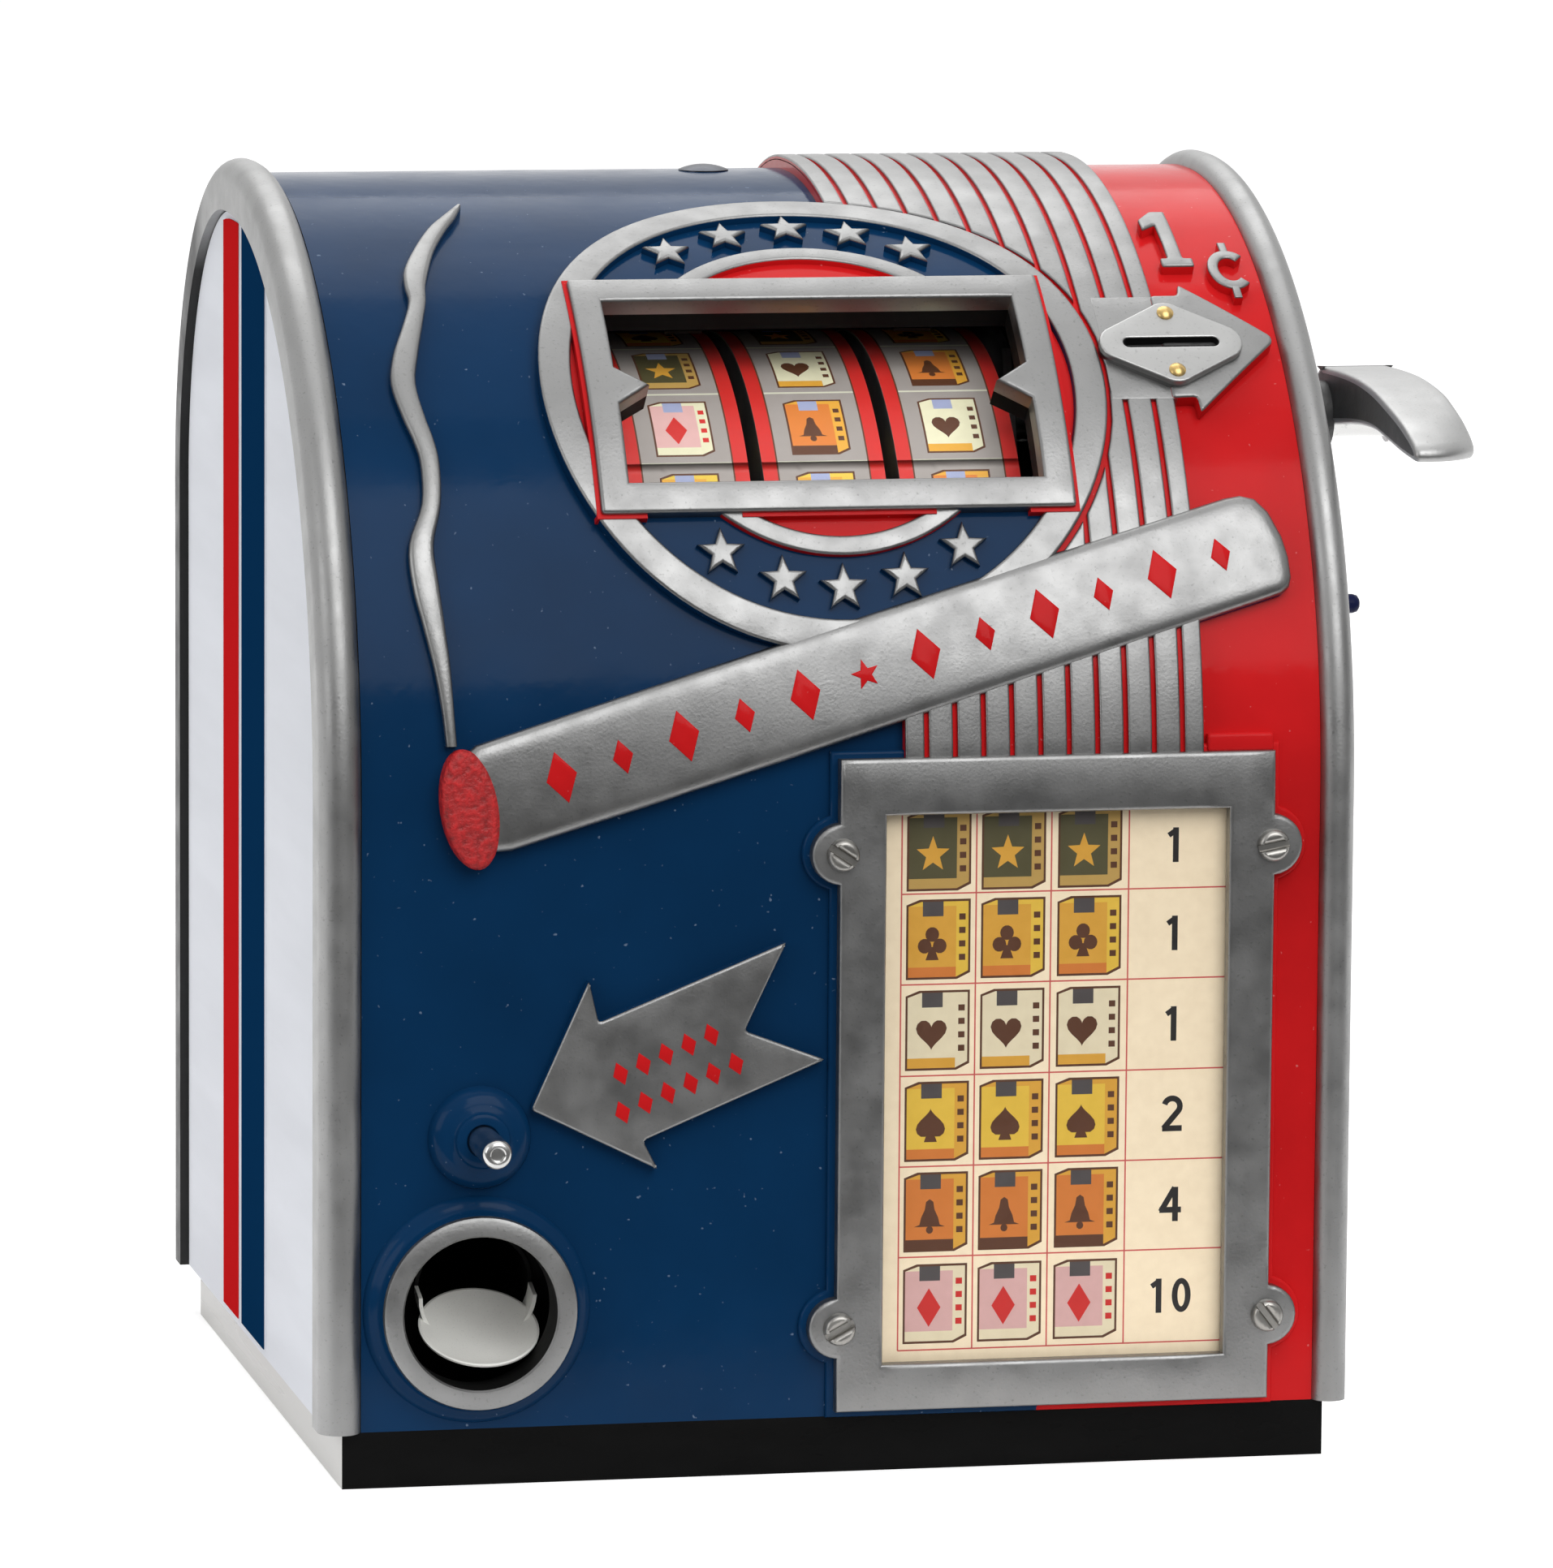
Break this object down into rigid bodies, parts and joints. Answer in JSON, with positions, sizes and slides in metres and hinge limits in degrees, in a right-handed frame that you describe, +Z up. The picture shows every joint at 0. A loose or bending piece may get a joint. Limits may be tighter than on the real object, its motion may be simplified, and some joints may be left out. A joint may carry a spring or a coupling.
{
  "type": "trade stimulator",
  "caption": "Counter-top coin machine with a bent cast hood, spinning reels behind a window, award card, gum vender, side lever, cash box and lockable rear door.",
  "frame": {"origin": "underside of the plinth, below the middle of the cast case", "axes": "+Z up, the front with window and card faces -Y, the lever is on the +X side"},
  "size_m": [0.255, 0.2287, 0.2692],
  "materials": {
    "cast_hood": "satin cast aluminium, partly enamelled blue and red",
    "plinth": "black painted board",
    "side_panel": "white enamel with a red and a blue band",
    "bare_aluminium": "satin cast aluminium",
    "plated_steel": "plated steel",
    "sheet_steel": "zinc-plated sheet",
    "brass": "plain brass",
    "glass": "clear pane",
    "printed_card": "cream printed card",
    "printed_strip": "grey printed strip with red edges",
    "reel_drum": "spun aluminium",
    "dark_plastic": "dark moulded button",
    "blackened_steel": "blackened screw",
    "spring_steel": "spring wire"
  },
  "bodies": {
    "case": {"plinth": "plinth", "hood": "cast_hood", "left_side": "side_panel", "right_side": "side_panel", "top_screw": "blackened_steel", "window_glass": "glass", "award_glass": "glass", "award_card": "printed_card", "award_frame": "bare_aluminium", "gum_cup": "bare_aluminium", "case_screws": "plated_steel", "award_screws": "plated_steel", "coin_plate": "plated_steel", "spring_post": "plated_steel", "tie_rods": "plated_steel", "mech_nuts": "plated_steel", "mech_screws": "plated_steel", "reel_shaft": "plated_steel", "reel_spacers": "plated_steel", "stop_shaft": "plated_steel", "stop_spacers": "plated_steel", "hinge_pin": "plated_steel", "glass_clips": "plated_steel", "coin_chute": "sheet_steel", "gum_tube": "sheet_steel", "mech_plate_left": "sheet_steel", "mech_plate_right": "sheet_steel", "cash_box": "sheet_steel", "hinge_leaf": "sheet_steel", "coin_plate_pins": "brass", "lever_bush": "brass", "button_spring": "spring_steel", "plunger_spring": "spring_steel", "handle_spring": "spring_steel"},
    "lever_unit": {"lever": "bare_aluminium", "lever_shaft": "plated_steel", "lever_nut": "plated_steel", "drive_sector": "sheet_steel"},
    "kicker_unit": {"kicker": "plated_steel", "kicker_pinion": "brass"},
    "plunger_unit": {"gum_plunger": "plated_steel"},
    "return_button": {"coin_return_button": "dark_plastic"},
    "door": {"rear_door": "sheet_steel", "door_lock": "brass"},
    "lock": {"lock_plug": "brass"},
    "reel_1": {"reel_drum_1": "reel_drum", "reel_strip_1": "printed_strip", "index_wheel_1": "brass"},
    "stop_1": {"stop_arm_1": "sheet_steel"},
    "reel_2": {"reel_drum_2": "reel_drum", "reel_strip_2": "printed_strip", "index_wheel_2": "brass"},
    "stop_2": {"stop_arm_2": "sheet_steel"},
    "reel_3": {"reel_drum_3": "reel_drum", "reel_strip_3": "printed_strip", "index_wheel_3": "brass"},
    "stop_3": {"stop_arm_3": "sheet_steel"}
  },
  "joints": [
    {"name": "lever_pull", "type": "hinge", "parent": "case", "child": "lever_unit", "pos_m": [0.127, -0.027, 0.214], "axis": [1, 0, 0], "range_deg": [0, 30], "stiffness_Nm_per_rad": 0.8, "springref_deg": -17.19, "deforming": ["handle_spring"]},
    {"name": "kicker_turn", "type": "hinge", "parent": "case", "child": "kicker_unit", "pos_m": [0.06, 0.027, 0.23225], "axis": [1, 0, 0], "range_deg": [-60, 0]},
    {"name": "gum_push", "type": "slide", "parent": "case", "child": "plunger_unit", "axis": [0, 1, 0], "range_m": [0, 0.008], "stiffness_N_per_m": 150, "springref_m": -0.004, "deforming": ["plunger_spring"]},
    {"name": "coin_return_push", "type": "slide", "parent": "case", "child": "return_button", "axis": [-1, 0, 0], "range_m": [0, 0.003], "stiffness_N_per_m": 200, "springref_m": -0.003, "deforming": ["button_spring"]},
    {"name": "door_swing", "type": "hinge", "parent": "case", "child": "door", "pos_m": [-0.0965, 0.0892, 0.102], "axis": [0, 0, 1], "range_deg": [0, 95]},
    {"name": "lock_turn", "type": "hinge", "parent": "door", "child": "lock", "pos_m": [0.079, 0.083, 0.1045], "axis": [0, 1, 0], "range_deg": [0, 90]},
    {"name": "reel_1_spin", "type": "hinge", "parent": "case", "child": "reel_1", "pos_m": [-0.0262, -0.029, 0.17], "axis": [1, 0, 0], "continuous": true},
    {"name": "stop_1_lift", "type": "hinge", "parent": "case", "child": "stop_1", "pos_m": [-0.0124, 0.035, 0.12], "axis": [1, 0, 0], "range_deg": [0, 12], "stiffness_Nm_per_rad": 0.02, "springref_deg": -17.19},
    {"name": "reel_2_spin", "type": "hinge", "parent": "case", "child": "reel_2", "pos_m": [0.0032, -0.029, 0.17], "axis": [1, 0, 0], "continuous": true},
    {"name": "stop_2_lift", "type": "hinge", "parent": "case", "child": "stop_2", "pos_m": [0.017, 0.035, 0.12], "axis": [1, 0, 0], "range_deg": [0, 12], "stiffness_Nm_per_rad": 0.02, "springref_deg": -17.19},
    {"name": "reel_3_spin", "type": "hinge", "parent": "case", "child": "reel_3", "pos_m": [0.0326, -0.029, 0.17], "axis": [1, 0, 0], "continuous": true},
    {"name": "stop_3_lift", "type": "hinge", "parent": "case", "child": "stop_3", "pos_m": [0.0464, 0.035, 0.12], "axis": [1, 0, 0], "range_deg": [0, 12], "stiffness_Nm_per_rad": 0.02, "springref_deg": -17.19}
  ],
  "couplings": [
    {"joint": "kicker_turn", "follows": "lever_pull", "ratio": -2}
  ]
}
